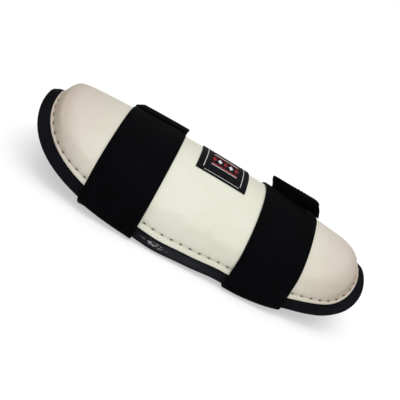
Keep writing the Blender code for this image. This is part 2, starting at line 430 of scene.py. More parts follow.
def elastic_look():
    look = Look("black_elastic", Specular_IOR_Level=0.03)
    ribs = look.bands(0.00125, "Y")
    weft = look.bands(0.0007, "X", distortion=0.3)
    weave = look.maths("ADD", look.maths("MULTIPLY", ribs, 0.7), look.maths("MULTIPLY", weft, 0.45))
    colour = look.mix(look.clouds(30.0, 4.0), linear("020203"), linear("050507"))
    colour = look.mix(look.ranged(weave, 0.3, 1.1, 0.0, 0.6), colour, linear("0a0b0f"))
    lint = look.ranged(look.noise(1500.0, 3.0), 0.72, 0.8, 0.0, 0.15)
    colour = look.mix(lint, colour, linear("26282c"))
    look.colour(colour)
    look.roughness(look.clouds(500.0, 3.0, 0.62, 0.84))
    look.relief((weave, 0.55, 0.0002), (look.noise(2200.0, 3.0), 0.25, 0.00008))
    return look.material


def hook_look():
    look = Look("black_hook_tape", Specular_IOR_Level=0.12)
    hooks = look.cells(620.0, look.mapped("UV"), spread=0.25)
    colour = look.mix(look.ranged(hooks, 0.1, 0.6), linear("1d1e21"), linear("0b0b0d"))
    look.colour(colour)
    look.roughness(look.clouds(700.0, 3.0, 0.45, 0.7))
    look.relief((hooks, 0.8, 0.0005), (look.noise(2400.0, 2.0), 0.3, 0.0001))
    return look.material


def hem_lit_look():
    # Painted highlight: a lighter copy of the black elastic, standing in for light catching the folded end's rounded
    # nose.
    look = Look("black_hem_painted_highlight", Specular_IOR_Level=0.06)
    ribs = look.bands(0.0009, "Y", distortion=0.3)
    colour = look.mix(look.clouds(160.0, 4.0), linear("08080a"), linear("121316"))
    colour = look.mix(look.maths("MULTIPLY", ribs, 0.4), colour, linear("1d1e22"))
    look.colour(colour)
    look.roughness(look.clouds(600.0, 3.0, 0.6, 0.85))
    look.relief((ribs, 0.5, 0.0002), (look.noise(2200.0, 3.0), 0.25, 0.0001))
    return look.material


def woven_look():
    look = Look("black_woven_label", Specular_IOR_Level=0.06)
    warp = look.bands(0.00042, "X")
    weft = look.bands(0.0005, "Y")
    weave = look.maths("MULTIPLY", warp, weft)
    colour = look.mix(look.clouds(90.0, 4.0), linear("060607"), linear("0d0e14"))
    colour = look.mix(look.maths("MULTIPLY", weave, 0.35), colour, linear("191b20"))
    look.colour(colour)
    look.roughness(look.clouds(500.0, 3.0, 0.5, 0.7))
    look.relief((weave, 0.5, 0.00012), (look.noise(1800.0, 3.0), 0.2, 0.00006))
    return look.material


def thread_look(name, dark, pale):
    look = Look(name, Specular_IOR_Level=0.15)
    twist = look.bands(0.00045, "DIAGONAL")
    colour = look.mix(look.clouds(800.0, 3.0), linear(dark), linear(pale))
    colour = look.mix(look.maths("MULTIPLY", twist, 0.3), colour, linear(dark))
    look.colour(colour)
    look.roughness(look.clouds(900.0, 2.0, 0.45, 0.65))
    look.relief((twist, 0.5, 0.0001), (look.noise(2500.0, 2.0), 0.2, 0.00004))
    return look.material


# Cover


def edge_round(seam):
    """Width of the rounding at the cover's cut edge."""
    return np.minimum(0.0011, 0.35 * seam)


def stitch_inset(x):
    """How far in from the cover's edge the stitches lie: nearer to it at the tips."""
    return SEAM_INSET - SEAM_AT_TIPS * eased(np.abs(x), 0.075, 0.130)


def seam_line(turn):
    """How far in from the cover's edge the seam lies at a turn round the oval, and 1 at the knee end, else 0."""
    x, _ = oval_point(MARGIN + 0.004, turn)
    return stitch_inset(x), eased(-x, 0.0, 0.05)


def seam_phase(lengths, total):
    """Place along the seam, counted in stitches: whole numbers lie at the stitches."""
    return lengths / total * round(total / STITCH_PITCH) + 0.5


def cover_lift(inset, seam, phase, around, knee):
    """Height of the cover's top face over the backing, with its hollow along the seam, dimples and puckers.

    knee is 1 at the knee end, where the pad is fuller, and 0 elsewhere."""
    d = inset - MARGIN
    tip = (SEAM_INSET - seam) / SEAM_AT_TIPS
    full = tip * (0.15 + 0.85 * knee)
    share = np.clip((d - seam) / (FLANGE_WIDTH + SHOULDER_WIDTH - seam - 0.007 * full), 0.0, 1.0)
    pad = SEAM_THICKNESS + (PAD_THICKNESS - SEAM_THICKNESS) * (1.0 - (1.0 - share) ** 2.3) ** (0.72 - 0.24 * full)
    edge = np.sqrt(np.clip(1.0 - (1.0 - np.clip(d / (1.2 * edge_round(seam)), 0.0, 1.0)) ** 2, 0.0, 1.0))
    flange = 0.0006 + (FLANGE_THICKNESS - 0.0006) * edge
    flange = flange - (FLANGE_THICKNESS - SEAM_THICKNESS) * eased(d, 0.64 * seam, seam)
    lift = np.where(d < seam, flange, pad)
    beat = np.cos(phase * math.tau)
    hole = bump((phase - np.round(phase)) * STITCH_PITCH, 0.0, STITCH_REACH)
    sway = (1.0 + 1.3 * tip) * (1.0 + 0.35 * np.sin(around * 9.0 + 1.3) + 0.25 * np.sin(around * 23.0 + 0.4))
    lift = lift - 0.00006 * bump(d, seam, 0.0009)
    lift = lift - 0.00050 * hole * bump(d, seam, 0.0010)
    lift = lift - 0.00012 * beat * sway * bump(d, 0.6 * seam, 0.0012)
    lift = lift - 0.00016 * beat * sway * bump(d, seam + 0.0026, 0.0022)
    soft = 0.00012 * np.sin(around * 5.0 + 0.8) * np.sin(inset * 160.0) * eased(d, 0.008, 0.02)
    soft = soft * eased(HALF_GIRTH - inset, 0.0, 0.02)
    return np.maximum(lift + soft, 0.0005)


def settled_skin(columns, spread):
    """Cloth simulation of the cover's skin under the pad's pressure, held by its stitches.

    It returns how far the skin moves along its normal, row by row from the crown to the edge, at the given
    places: spread is the share from the crown to the seam, and from there to the edge."""
    turns, lengths = even_turns(SKIN_CELLS)
    phase = seam_phase(lengths[:-1], lengths[-1])
    around = lengths[:-1] / lengths[-1] * math.tau
    seam, knee = seam_line(turns[None, :])
    rows = np.concatenate([np.linspace(0.35, 0.86, 9), np.linspace(0.88, 1.0, 11), [1.3, 1.65, 2.0]])[:, None]
    inside = HALF_GIRTH + (MARGIN + seam - HALF_GIRTH) * np.minimum(rows, 1.0)
    inset = np.where(rows <= 1.0, inside, MARGIN + seam * (2.0 - rows))
    x, girth = oval_point(inset, turns[None, :])
    points = on_bend(x, girth, cover_lift(inset, seam, phase[None, :], around[None, :], knee) - 0.0004)
    no_uv = np.zeros((len(rows), SKIN_CELLS + 1, 2))
    skin = grid_object("skin", points, bpy.data.materials.new("skin"), no_uv, wrap_columns=True, flip=True)
    hold = skin.vertex_groups.new(name="held")
    stitch = bump((phase - np.round(phase)) * STITCH_PITCH, 0.0, STITCH_REACH)
    grip = 0.9 - 0.86 * eased(rows, 0.4, 0.95) + 0.0 * seam
    grip = np.where(rows >= 1.3, 0.75, grip)
    grip = np.where(np.abs(rows - 1.0) < 0.001, np.where(stitch > 0.4, 1.0, 0.25), grip)
    grip[0] = 1.0
    grip[-1] = 1.0
    for index, weight in enumerate(grip.ravel()):
        hold.add([index], float(weight), "REPLACE")
    cloth = skin.modifiers.new("cloth", "CLOTH").settings
    cloth.vertex_group_mass = "held"
    cloth.mass = 0.2
    cloth.quality = 6
    cloth.tension_stiffness = 12.0
    cloth.compression_stiffness = 12.0
    cloth.shear_stiffness = 4.0
    cloth.bending_stiffness = 0.6
    cloth.use_pressure = True
    cloth.uniform_pressure_force = SKIN_PRESSURE
    cloth.shrink_min = SKIN_SHRINK
    cloth.effector_weights.gravity = 0.0
    scene = bpy.context.scene
    for step in range(1, SKIN_STEPS + 1):
        scene.frame_set(step)
    graph = bpy.context.evaluated_depsgraph_get()
    moved = skin.evaluated_get(graph).data
    settled = np.zeros(len(moved.vertices) * 3)
    moved.vertices.foreach_get("co", settled)
    settled = settled.reshape(points.shape)
    normals = unit(np.cross(np.roll(points, -1, 1) - np.roll(points, 1, 1), np.gradient(points, axis=0)))
    normals *= np.sign(np.sum(normals * (points - [0.0, 0.0, -0.02]), axis=-1, keepdims=True))
    shift = SKIN_SHARE * np.sum((settled - points) * normals, axis=-1)
    shift = np.clip(shift - np.mean(shift, axis=1, keepdims=True) * 0.9, SKIN_IN, SKIN_OUT)
    scene.frame_set(1)
    bpy.data.objects.remove(skin, do_unlink=True)
    wide = np.concatenate([shift[:, -2:], shift, shift[:, :3]], axis=1)
    places = np.arange(columns) / columns * SKIN_CELLS + 2.0
    smooth = np.stack([np.interp(places, np.arange(wide.shape[1]), row) for row in wide])
    for _ in range(3):
        smooth = 0.25 * np.roll(smooth, 1, 1) + 0.5 * smooth + 0.25 * np.roll(smooth, -1, 1)
    result = np.zeros(spread.shape)
    for column in range(columns):
        result[:, column] = np.interp(spread[:, column], rows[:, 0], smooth[:, column], left=0.0, right=0.0)
    return result


def build_cover(look):
    columns = 960
    turns, lengths = even_turns(columns)
    total = lengths[-1]
    phase = seam_phase(lengths[:-1], total)
    around = lengths[:-1] / total * math.tau
    full_pad = MARGIN + FLANGE_WIDTH + SHOULDER_WIDTH
    seam, knee = seam_line(turns[None, :])
    crown = np.linspace(HALF_GIRTH, full_pad, 19)[:, None] + 0.0 * seam
    low = MARGIN + seam + 0.0027
    shoulder = low + (full_pad - low) * (1.0 - np.sin(np.linspace(0.0, math.pi / 2, 20)[1:, None]))
    below = np.minimum(0.0015, 0.4 * seam)
    middle = MARGIN + seam + np.concatenate(
        [np.linspace(0.0024, 0.0, 9)[:, None] + 0.0 * seam, -np.linspace(0.0, 1.0, 7)[1:, None] * below]
    )
    rounded = edge_round(seam)
    flange = MARGIN + rounded + (seam - below - rounded) * np.linspace(0.75, 0.0, 4)[:, None]
    edge = MARGIN + rounded * (1.0 - np.sin(np.linspace(0.25, math.pi / 2, 6)))[:, None]
    top = np.concatenate([crown, shoulder, middle, flange, edge])
    bottom = np.array([MARGIN + 0.0003, MARGIN + 0.002, MARGIN + FLANGE_WIDTH, full_pad, 0.06, HALF_GIRTH])
    inset = np.concatenate([top, bottom[:, None] + 0.0 * seam])
    x, girth = oval_point(inset, turns[None, :])
    settled = np.zeros(top.shape)
    inside = (top - HALF_GIRTH) / (MARGIN + seam - HALF_GIRTH)
    settled = settled_skin(columns, np.where(inside <= 1.0, inside, 2.0 - (top - MARGIN) / seam))
    top_lift = cover_lift(top, seam, phase[None, :], around[None, :], knee) + settled
    lift = np.concatenate([top_lift, np.full((len(bottom), columns), CLEARANCE)])
    points = on_bend(x, girth, lift)
    d = inset - MARGIN
    near_hole = bump((phase - np.round(phase))[None, :] * STITCH_PITCH, 0.0, 0.0015)
    tips = eased(np.abs(x), 0.09, 0.13)
    ends = eased(np.abs(x), 0.115, 0.140)
    # Painted shade along the seam: in its hollow, around each stitch hole, and in bands just inside it at the tips.
    painted_seam_shade = 0.03 * bump(d, seam + 0.0010, 0.0022) + 0.16 * tips * bump(d, seam + 0.0015, 0.0020)
    painted_seam_shade = painted_seam_shade + 0.34 * ends * bump(d, seam + 0.0020, 0.0020) + 0.27 * tips * bump(d, seam + 0.0055, 0.0065)
    painted_seam_shade = painted_seam_shade + 0.4 * bump(d, seam, 0.0008) * near_hole
    painted_seam_shade[len(top) :] = 0.0
    uv = np.stack([np.broadcast_to(lengths[:-1], inset.shape), inset], axis=-1)
    last = np.stack([np.full(len(inset), lengths[-1]), inset[:, 0]], axis=-1)[:, None]
    uv = np.concatenate([uv, last], axis=1)
    masks = {"painted_seam_shade": np.clip(painted_seam_shade, 0.0, 1.0)}
    made = grid_object("cover_pad", points, look, uv, wrap_columns=True, masks=masks, flip=True)
    merge_close(made)
    return made


def build_cover_stitches(look):
    fine = 9600
    turns, lengths = even_turns(fine)
    total = lengths[-1]
    count = round(total / STITCH_PITCH)
    runs = []
    for stitch in range(count):
        middle = total * (stitch + 0.5) / count
        steps = middle + STITCH_LENGTH * np.linspace(-0.5, 0.5, 7)
        turn = np.interp(steps % total, lengths[:-1], turns)
        seam, knee = seam_line(turn)
        inset = MARGIN + seam
        x, girth = oval_point(inset, turn)
        lift = cover_lift(inset, seam, seam_phase(steps, total), steps / total * math.tau, knee)
        arch = 0.00022 * (1.0 - np.linspace(-1.0, 1.0, 7) ** 2) - 0.00022
        path = on_bend(x, girth, lift + arch + THREAD * 0.55)
        runs.append((path, on_bend(x, girth, lift + 0.01) - on_bend(x, girth, lift)))
    return threads("cover_stitches", runs, THREAD, look)


# Backing


def build_backing(look):
    columns = 480
    turns, lengths = even_turns(columns)
    around = lengths[:-1] / lengths[-1] * math.tau
    depth = BACKING_THICKNESS
    upper = (*np.linspace(HALF_GIRTH, 0.03, 6), *np.linspace(0.018, EDGE_ROUND + 0.0002, 12))
    lower = (*np.linspace(EDGE_ROUND + 0.0004, 0.030, 14), *np.linspace(0.034, HALF_GIRTH, 16))
    rows = [(inset, 0.0, 0.0) for inset in upper]
    rows += [(inset, lift, 0.0) for inset, lift in EDGE_PROFILE[:7]]
    rows += [(0.00028, -0.0020, 0.9), (0.0, -0.0024, 0.3), (0.00028, -0.0028, 0.9)]
    rows += [(inset, lift, 0.0) for inset, lift in EDGE_PROFILE[8:]]
    rows = np.array(rows + [(inset, -depth, 0.0) for inset in lower])
    inset = rows[:, 0:1]
    inner = rows[:, 1:2] <= -depth + 0.0001
    outer = (rows[:, 1:2] >= -0.0001) & (inset < MARGIN - 0.001)
    wander = np.sin(around * 13.0 + 0.7) + 0.6 * np.sin(around * 29.0 + 2.1) + 0.4 * np.sin(around * 47.0)
    ripple = 0.00012 * wander[None, :] * bump(inset, 0.004, 0.004) * (inner | outer)
    hollow = 0.0003 * np.sin(inset * 95.0) * np.sin(around * 3.0 + 0.5)[None, :] * inner * eased(inset, 0.01, 0.04)
    hollow = hollow * eased(HALF_GIRTH - inset, 0.0, 0.02)
    lift = rows[:, 1:2] + ripple + hollow
    x, girth = oval_point(inset, turns[None, :])
    pressed = 0.00035 * bump(inset, MARGIN + stitch_inset(x), 0.0012) * inner
    lift = lift + pressed
    points = on_bend(x, girth, lift)
    uv = np.stack([x, girth], axis=-1)
    uv = np.concatenate([uv, uv[:, :1]], axis=1)
    outside = (girth < 0.0) & (rows[:, 1:2] > -0.003)
    scuff = outside * bump(girth, -HALF_GIRTH + 0.0048 - 0.06 * (x + 0.0235), 0.0011) * bump(x, -0.0225, 0.0075)
    # Painted sheen on the near rim between the straps, as a lighter band.
    painted_sheen = 0.75 * outside * bump(girth, -HALF_GIRTH + 0.0045, 0.0045) * bump(x, 0.0, 0.03)
    masks = {"layer": np.broadcast_to(rows[:, 2:3], x.shape), "scuff": np.clip(1.6 * scuff, 0.0, 1.0), "painted_sheen": painted_sheen}
    made = grid_object("backing_foam", points, look, uv, wrap_columns=True, masks=masks, flip=True)
    merge_close(made)
    return made


def build_inner_stitches(look):
    """The cover's seam as it shows on the leg side of the backing."""
    fine = 9600
    turns, lengths = even_turns(fine)
    total = lengths[-1]
    count = round(total / STITCH_PITCH)
    runs = []
    for stitch in range(count):
        steps = total * (stitch + 1.0) / count + STITCH_PITCH * 0.36 * np.linspace(-1.0, 1.0, 9)
        turn = np.interp(steps % total, lengths[:-1], turns)
        x, girth = oval_point(MARGIN + seam_line(turn)[0], turn)
        arch = 0.0003 * (1.0 - np.linspace(-1.0, 1.0, 9) ** 4)
        path = on_bend(x, girth, -BACKING_THICKNESS + 0.00035 - arch)
        runs.append((path, on_bend(x, girth, -0.01) - on_bend(x, girth, 0.0)))
    return threads("inner_stitches", runs, INNER_THREAD, look)


# Straps


def backing_edge_profile():
    """The backing's rounded edge from its outer face to its inner one: inset and lift."""
    over = np.linspace(0.0, math.pi / 2, 7)
    turns = np.concatenate([over, over + math.pi / 2])
    lifts = EDGE_ROUND * np.cos(turns) + np.repeat([-EDGE_ROUND, EDGE_ROUND - BACKING_THICKNESS], 7)
    return np.stack([EDGE_ROUND * (1.0 - np.sin(turns)), lifts], axis=-1)


def cad_pad_lift(inset):
    from_edge = inset - MARGIN
    flange = FLANGE_THICKNESS + (SEAM_THICKNESS - FLANGE_THICKNESS) * from_edge / FLANGE_WIDTH
    share = np.clip((from_edge - FLANGE_WIDTH) / SHOULDER_WIDTH, 0.0, 1.0)
    pad = SEAM_THICKNESS + (PAD_THICKNESS - SEAM_THICKNESS) * np.sqrt(1.0 - (1.0 - share) ** 2)
    return np.where(from_edge <= FLANGE_WIDTH, flange, pad)


EDGE_PROFILE = backing_edge_profile()
FLOOR = min(
    on_bend(x, half_girth_at(x, EDGE_PROFILE[:, 0]), EDGE_PROFILE[:, 1], plain=True)[:, 2].min()
    for x in HALF_LENGTH * np.linspace(-0.5, 0.5, 61)
)
HELD = {}


def held_points(x, flat_half):
    """The points of the guard's section at x that a strap goes round, as y and z."""
    key = (round(x, 7), flat_half)
    if key not in HELD:
        inset = MARGIN + (HALF_LENGTH - MARGIN - abs(x)) * np.linspace(0.0, 1.0, 500)
        inset = np.minimum(inset, HALF_GIRTH)
        rows = np.concatenate([EDGE_PROFILE, np.stack([inset, cad_pad_lift(inset)], axis=-1)])
        half = (on_bend(x, half_girth_at(x, rows[:, 0]), rows[:, 1]) - SHIFT)[:, 1:]
        half = np.concatenate([half, [[flat_half, FLOOR - SHIFT[2]]]])
        HELD[key] = np.concatenate([half, half * [-1.0, 1.0]])
    return HELD[key]


def tape_share(strap, slope, offset):
    """1 where the hook tape lies under the strap, easing to 0 beside it."""
    _, _, low, high = LAPS[strap]
    beside = 1.0 - eased(offset, high + 0.0003, high + 0.006)
    if strap == "knee":
        beside = beside * eased(offset, low - 0.0085, low - 0.0005)
    return beside * eased(-slope, 345.0 - TAPE_END_ANGLE, 357.0 - TAPE_END_ANGLE)


def strap_gap(strap, slope, offset):
    """Gap under the strap: over the pad, over its own inner end, and over the hook tape."""
    over_inner_end = (STRAP_THICKNESS + CLEARANCE) * eased(-slope, 265.0, 357.0 - INNER_END_ANGLE)
    over_tape = (TAPE_THICKNESS + CLEARANCE) * tape_share(strap, slope, offset)
    return CLEARANCE + over_inner_end + over_tape + raised(strap, slope + 360.0, offset)


def raised(strap, slope, offset):
    """How far the free end stands off the strap below it."""
    _, _, knee_corner, ankle_corner = STRAPS[strap]
    low, high, _, _ = LAPS[strap]
    corner = knee_corner + (ankle_corner - knee_corner) * (offset - low) / (high - low)
    return corner * eased(-slope, -FREE_END_ANGLE - 16.0, -FREE_END_ANGLE)


def drawn_in(strap, slope):
    """How far the ankle strap's lap pulls in at its knee side, behind its free end."""
    return 0.0085 * bump(slope, -323.0, 13.0) if strap == "ankle" else 0.0


def strap_edges(strap, slope):
    """Where the strap's two edges lie across it, from its middle."""
    low, high, _, _ = LAPS[strap]
    share = eased(-slope, 290.0, 325.0)
    spread = 0.0030 * bump(slope, 16.0, 24.0) if strap == "ankle" else 0.0
    return (
        -STRAP_WIDTH / 2 + (low + STRAP_WIDTH / 2) * share + drawn_in(strap, slope),
        STRAP_WIDTH / 2 + (high - STRAP_WIDTH / 2) * share + spread,
    )


def strap_point(strap, slope, offset, height):
    """A point over the strap's inner face, at a slope round the guard, an offset across it and a height."""
    side, flat_half, _, _ = STRAPS[strap]
    x = side * STRAP_SPACING / 2 + offset
    points = held_points(x, flat_half)
    normal = np.array([math.sin(math.radians(slope)), math.cos(math.radians(slope))])
    held = points[np.argmax(points @ normal)]
    gap = strap_gap(strap, slope, offset)
    place = held + normal * (gap + height)
    return np.array([x, place[0], place[1]]) + SHIFT, np.array([0.0, normal[0], normal[1]])


def slopes_round():
    over = np.arange(INNER_END_ANGLE, -90.0, -1.5)
    under = np.concatenate([np.arange(-90.0, -178.0, -4.0), [-179.7, -180.3], np.arange(-182.0, -270.0, -4.0)])
    lap = np.arange(-270.0, FREE_END_ANGLE - 360.0, -1.5)
    return np.concatenate([over, under, lap, [FREE_END_ANGLE - 360.0]])


def band_ring(half_width, thickness, cells=24):
    """Section of a flat band with rounded selvedges: offsets across and heights, bottom first."""
    radius = thickness / 2
    flat = np.linspace(-(half_width - radius), half_width - radius, cells + 1)
    ridge = 0.00012 * (bump(np.abs(flat), half_width - 0.0018, 0.0007))
    angle = np.linspace(-math.pi / 2, math.pi / 2, 7)[1:-1]
    right = np.stack([half_width - radius + radius * np.cos(angle), radius + radius * np.sin(angle)], axis=-1)
    left = np.stack([-(half_width - radius) - radius * np.cos(angle), radius - radius * np.sin(angle)], axis=-1)
    bottom = np.stack([flat, np.zeros_like(flat)], axis=-1)
    top = np.stack([flat[::-1], thickness + ridge], axis=-1)
    return np.concatenate([bottom, right, top, left])


def band_object(name, strap, rings, look):
    """A closed band from its sections, with a UV of the length along it and the offset across."""
    lengths = travelled_along(rings[:, 12])
    offsets = rings[..., 0] - STRAPS[strap][0] * STRAP_SPACING / 2
    uv = np.stack(np.broadcast_arrays(lengths[:, None], offsets), axis=-1)
    uv = np.concatenate([uv, uv[:, :1]], axis=1)
    return grid_object(name, rings, look, uv, wrap_columns=True, caps=True)


def end_slope(strap, offset, slope):
    """Where a station lies once the free end is cut askew and its corner at a slant."""
    low = LAPS[strap][0]
    if strap == "knee":
        cut = 5.5 * eased(-offset, -low - 0.009, -low)
    else:
        cut = 1.5 * eased(-offset, -low - 0.009, -low) - 12.0 * (offset - low) / (0.025 - low)
    return slope + cut * eased(-slope, 318.0, 343.0)


def build_strap(strap, look):
    rings = []
    for slope in slopes_round():
        low, high = strap_edges(strap, slope)
        section = band_ring((high - low) / 2, STRAP_THICKNESS) + [(low + high) / 2, 0.0]
        places = [strap_point(strap, end_slope(strap, offset, slope), offset, height) for offset, height in section]
        rings.append([place for place, _ in places])
    return band_object("elastic_strap_" + strap, strap, np.array(rings), look)


def build_tape(strap, look):
    slopes = np.linspace(TAPE_END_ANGLE, FREE_END_ANGLE + 0.4, 24) - 360.0
    _, _, low, high = LAPS[strap]
    section = band_ring((high - low) / 2, TAPE_THICKNESS) + [(low + high) / 2, 0.0]
    rings = []
    for slope in slopes:
        ring = []
        for offset, height in section:
            bent = end_slope(strap, offset, slope)
            offset = offset + drawn_in(strap, slope) * max(0.0, offset / low)
            under = (TAPE_THICKNESS + CLEARANCE) * tape_share(strap, bent, offset)
            ring.append(strap_point(strap, bent, offset, height - under)[0])
        rings.append(ring)
    return band_object("hook_tape_" + strap + "_strip", strap, np.array(rings), look)


def build_hem(strap, look):
    """The strap's free end, folded round the end of its hook tape."""
    nose = 0.0019
    slant = np.array([0.57 if strap == "ankle" else 0.0, 0.0, 0.0])
    rows = []
    left, right, _, _ = LAPS[strap]
    slope = FREE_END_ANGLE - 360.0
    for share in np.linspace(-1.0, 1.0, 41):
        offset = (left + right) / 2 + share * (right - left) / 2
        bent = end_slope(strap, offset, slope)
        stand = raised(strap, bent + 360.0, offset)
        low = -(TAPE_THICKNESS + CLEARANCE) * tape_share(strap, bent, offset) - 0.95 * stand - 0.0003
        high = STRAP_THICKNESS + 0.00015
        centre = (low + high) / 2
        radius = (high - low) / 2
        place, normal = strap_point(strap, bent, offset, centre)
        tangent = np.array([0.0, -normal[2], normal[1]])
        shrink = math.sqrt(max(0.0, 1.0 - max(0.0, (abs(share) - 0.965) / 0.035) ** 2)) * 0.98 + 0.02
        line = []
        for angle in np.linspace(-math.pi / 2, math.pi / 2, 15):
            reach = nose * math.cos(angle) ** 0.75
            if strap == "ankle":
                reach = nose * (1.0 - max(0.0, math.sin(angle)) ** 4) + 0.0004 * (1.0 - math.sin(angle))
            lean = slant * radius * (1.0 - math.sin(angle) * shrink)
            line.append(place + normal * radius * math.sin(angle) * shrink + tangent * reach * shrink + lean)
        for angle in np.linspace(1.0, -1.0, 9)[1:-1]:
            lean = slant * radius * (1.0 - angle * shrink)
            line.append(place + normal * radius * angle * shrink - tangent * 0.0012 + lean)
        rows.append(line)
    points = np.array(rows)
    count = points.shape[1]
    uv = np.zeros((points.shape[0], count + 1, 2))
    uv[..., 0] = np.linspace(0.0, LAP_WIDTH, points.shape[0])[:, None]
    uv[..., 1] = np.linspace(0.0, 0.012, count + 1)[None, :]
    return grid_object("free_end_hem_" + strap, points, look, uv, wrap_columns=True, flip=True, caps=True)


def stitched_path(corners, step=0.0005):
    """Points evenly spaced along straight lines between corners given as length and offset in metres."""
    points = []
    for before, after in zip(corners, corners[1:]):
        before = np.array(before)
        after = np.array(after)
        count = max(2, int(np.linalg.norm(after - before) / step))
        points += [before + (after - before) * index / count for index in range(count)]
    return np.array(points + [np.array(corners[-1])])


def build_lap_stitches(strap, look):
    """Box of stitches that holds the hook tape to the strap's free end."""
    slopes = np.linspace(TAPE_END_ANGLE - 1.5, FREE_END_ANGLE + 6.5, 60) - 360.0
    middle = np.array([strap_point(strap, slope, 0.0, STRAP_THICKNESS)[0] for slope in slopes])
    lengths = travelled_along(middle)
    _, _, low, high = LAPS[strap]
    low += 0.0022
    high -= 0.0022
    reach = lengths[-1]
    box = stitched_path([(0.0, low), (reach, low), (reach, high), (0.0, high), (0.0, low)])
    travelled = travelled_along(box)
    runs = []
    for stitch in range(int(travelled[-1] / LAP_PITCH)):
        steps = stitch * LAP_PITCH + np.linspace(0.1, 0.9, 7) * LAP_PITCH
        along = np.interp(steps, travelled, box[:, 0])
        across = np.interp(steps, travelled, box[:, 1])
        arch = 0.00022 * (1.0 - np.linspace(-1.0, 1.0, 7) ** 4) - 0.00012
        turns = np.interp(along, lengths, slopes)
        inward = [drawn_in(strap, slope) * max(0.0, offset / low) for slope, offset in zip(turns, across)]
        places = [
            strap_point(strap, end_slope(strap, offset, slope), offset, STRAP_THICKNESS + height)
            for slope, offset, height in zip(turns, across + inward, arch)
        ]
        runs.append(([place for place, _ in places], [normal for _, normal in places]))
    return threads("lap_stitches_" + strap, runs, LAP_THREAD, look)


# Label

LABEL_STRETCH = BEND_RADIUS / (BEND_RISE + PAD_THICKNESS)


def label_point(along, across, height):
    """A point over the label's outer face; across is measured round the crown, far side plus."""
    return on_bend(along, np.asarray(across) * LABEL_STRETCH, PAD_THICKNESS + CLEARANCE + LABEL_THICKNESS + height)


def build_label(look):
    """A sheet with rounded edges, its top raised a little near its two short ends."""
    columns = 40
    rows = 60
    half_along = LABEL_ALONG / 2
    half_across = LABEL_ACROSS / 2
    along = np.linspace(-half_along, half_along, columns + 1)
    across = np.linspace(-half_across, half_across, rows + 1)
    a, c = np.meshgrid(along, across)
    edge = np.minimum(half_along - np.abs(a), half_across - np.abs(c))
    fold = 0.00012 * (eased(half_along - np.abs(a), 0.0076, 0.0070))
    wave = 0.00007 * np.sin(a * 420.0 + 1.0) * np.sin(c * 260.0)
    rounded = 1.0 - np.sqrt(np.clip(1.0 - (1.0 - np.clip(edge / 0.0005, 0, 1)) ** 2, 0, 1))
    top = -0.0003 * rounded + fold + wave - 0.00012
    points_top = label_point(a, c, top)
    points_low = label_point(a, c, np.full_like(a, -LABEL_THICKNESS + 0.0001))
    points = np.concatenate([points_top.reshape(-1, 3), points_low.reshape(-1, 3)])
    offset = (rows + 1) * (columns + 1)
    flat = np.stack([a, c], axis=-1).reshape(-1, 2)
    quads = np.stack([row * (columns + 1) + column for row, column in grid_faces(rows + 1, columns + 1)], axis=-1)
    faces = [*quads.tolist(), *(quads[:, ::-1] + offset).tolist()]
    rim = list(range(columns))
    rim += [row * (columns + 1) + columns for row in range(rows)]
    rim += [rows * (columns + 1) + column for column in range(columns, 0, -1)]
    rim += [row * (columns + 1) for row in range(rows, 0, -1)]
    faces += [[after, before, before + offset, after + offset] for before, after in zip(rim, rim[1:] + rim[:1])]
    return mesh_object("label_sheet", points, faces, look, flat[np.array(faces) % offset])


def satin_patch(corners, raise_by, cells=14):
    """A patch of satin threads over the label between four corners, as a low cushion."""
    share = np.linspace(0.0, 1.0, cells + 1)
    u, v = np.meshgrid(share, share)
    parts = np.stack([(1 - u) * (1 - v), u * (1 - v), u * v, (1 - u) * v], axis=-1)
    flat = parts @ np.array(corners, float)
    crown = np.clip(np.minimum(np.minimum(u, 1 - u), np.minimum(v, 1 - v)) * 6.0, 0.0, 1.0)
    height = raise_by * np.sqrt(crown) - 0.0001
    return flat, height


def build_patches(name, patches, raise_by, look):
    points = []
    faces = []
    uvs = []
    for corners in patches:
        flat, height = satin_patch(corners, raise_by)
        size = flat.shape[0]
        quads = np.stack([row * size + column for row, column in grid_faces(size, size)], axis=-1)
        faces += (quads + size * size * len(points)).tolist()
        points.append(label_point(flat[..., 0], flat[..., 1], height).reshape(-1, 3))
        uvs.append(flat.reshape(-1, 2)[quads])
    return mesh_object(name, np.concatenate(points), faces, look, np.concatenate(uvs))


def bar(start, end, width):
    """Corners of a straight bar on the label."""
    start = np.array(start, float)
    end = np.array(end, float)
    along = (end - start) / np.linalg.norm(end - start)
    side = np.array([-along[1], along[0]]) * width / 2
    return [start - side, end - side, end + side, start + side]


def label_motif():
    """Frame bars and a plain row of lozenges between stripes."""
    half_along = LABEL_ALONG / 2 - 0.0056
    half_across = LABEL_ACROSS / 2 - 0.0022
    frame_bars = [
        bar((-half_along, -half_across), (-half_along, half_across), 0.0006),
        bar((half_along, -half_across), (half_along, half_across), 0.0006),
        bar((-half_along, -half_across), (half_along, -half_across), 0.0004),
        bar((-half_along, half_across), (half_along, half_across), 0.0004),
    ]
    red = []
    white = []
    for step in range(-2, 3):
        centre = np.array([step * 0.0052, -0.004])
        size = np.array([0.0022, 0.0046])
        lozenge = [centre - [size[0], 0], centre - [0, size[1]], centre + [size[0], 0], centre + [0, size[1]]]
        (white if step % 2 else red).append(lozenge)
    red.append(bar((-0.012, -0.0135), (0.012, -0.0135), 0.0018))
    red.append(bar((-0.012, 0.0055), (0.012, 0.0055), 0.0018))
    white.append(bar((-0.012, -0.0160), (0.012, -0.0160), 0.0007))
    white.append(bar((-0.012, 0.0080), (0.012, 0.0080), 0.0007))
    return frame_bars, red, white


